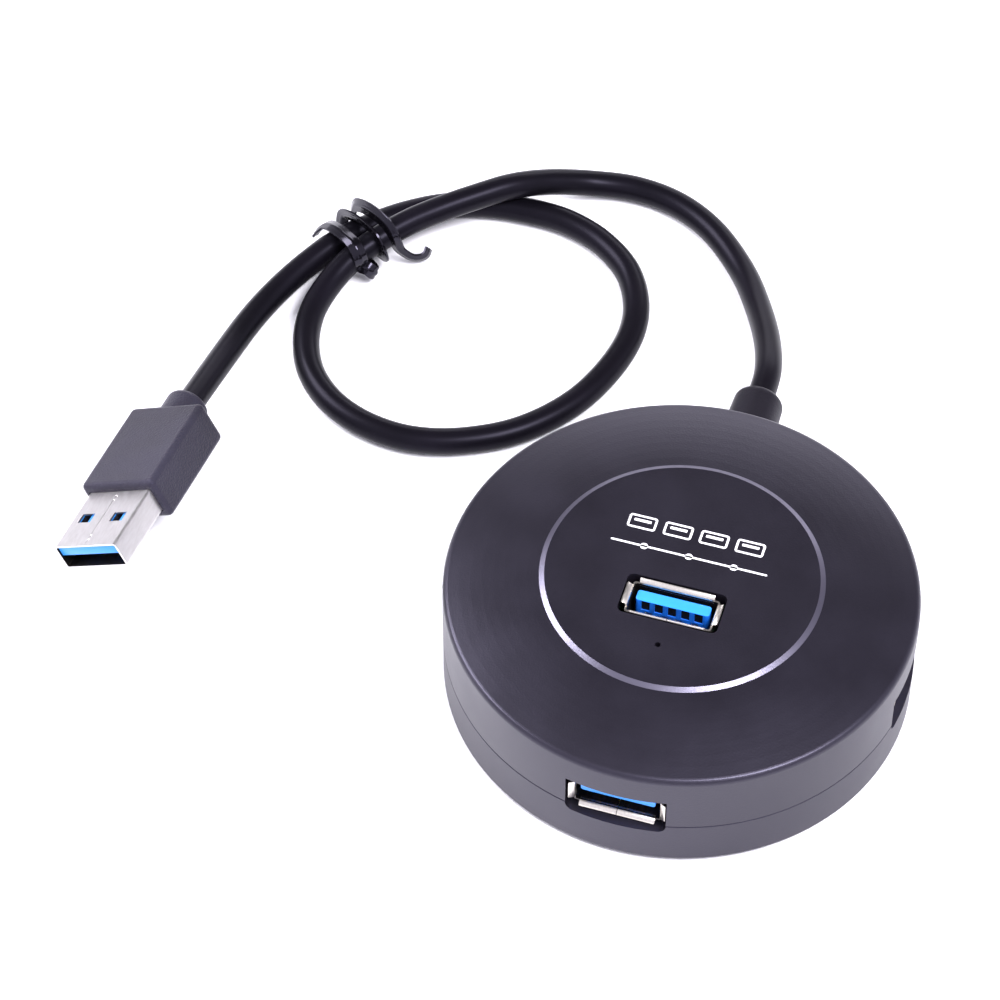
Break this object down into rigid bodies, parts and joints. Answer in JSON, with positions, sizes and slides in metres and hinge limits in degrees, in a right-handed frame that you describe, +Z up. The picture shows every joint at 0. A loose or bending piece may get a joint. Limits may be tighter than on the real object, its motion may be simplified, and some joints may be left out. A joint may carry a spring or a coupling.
{
  "type": "usb hub",
  "caption": "Round low desktop hub with a socket on top and in three sides, and a short captive lead ending in a flat plug, its spare length looped and tied.",
  "frame": {"origin": "centre of the round casing on the surface it stands on, under its rubber feet", "axes": "+Z up; -Y towards the front socket; +Y towards the back, where the lead leaves; +X towards the right socket seen from the front"},
  "size_m": [0.1301, 0.1273, 0.0225],
  "materials": {
    "casing_upper": "moulded ABS, very fine spark texture, soft satin",
    "casing_lower": "moulded ABS, very fine spark texture, soft satin",
    "port_metal": "nickel-plated steel sheet",
    "port_plastic": "blue moulded nylon",
    "contacts": "gold-flashed copper alloy",
    "board": "green solder mask on glass-epoxy",
    "chip_black": "black moulding compound",
    "tinned": "tin-plated copper",
    "can_metal": "drawn metal can",
    "capacitor": "fired ceramic with tinned ends",
    "fuse": "green polymer fuse",
    "led": "clear blue-tinted epoxy",
    "wire_jackets": "coloured PVC insulation",
    "solder": "reflowed solder",
    "screw_steel": "zinc-plated steel",
    "feet": "black rubber",
    "relief": "black soft PVC, fine texture",
    "jacket": "black PVC jacket, satin",
    "tie": "black PVC over a steel wire",
    "plug_body": "black overmoulded PVC, spark texture",
    "plug_metal": "nickel-plated steel shell"
  },
  "bodies": {
    "root": {"top_shell": "casing_upper", "bottom_shell": "casing_lower", "circuit_board": "board", "top_port_shell": "port_metal", "front_port_shell": "port_metal", "right_port_shell": "port_metal", "left_port_shell": "port_metal", "top_port_tongue": "port_plastic", "front_port_tongue": "port_plastic", "right_port_tongue": "port_plastic", "left_port_tongue": "port_plastic", "top_port_contacts": "contacts", "front_port_contacts": "contacts", "right_port_contacts": "contacts", "left_port_contacts": "contacts", "hub_chip": "chip_black", "hub_chip_leads": "tinned", "crystal": "can_metal", "regulator": "chip_black", "regulator_leads": "tinned", "filter_capacitors": "can_metal", "small_capacitors": "capacitor", "small_resistors": "chip_black", "surge_protectors": "chip_black", "port_fuses": "fuse", "indicator_led": "led", "led_leads": "tinned", "inner_wires": "wire_jackets", "wire_solder": "solder", "cable_tail": "jacket", "case_screws": "screw_steel", "rubber_feet": "feet", "strain_relief": "relief", "hub_cable": "jacket", "twist_tie": "tie", "plug_body": "plug_body", "plug_shell": "plug_metal", "plug_insulator": "port_plastic", "plug_contacts": "contacts"}
  },
  "joints": []
}
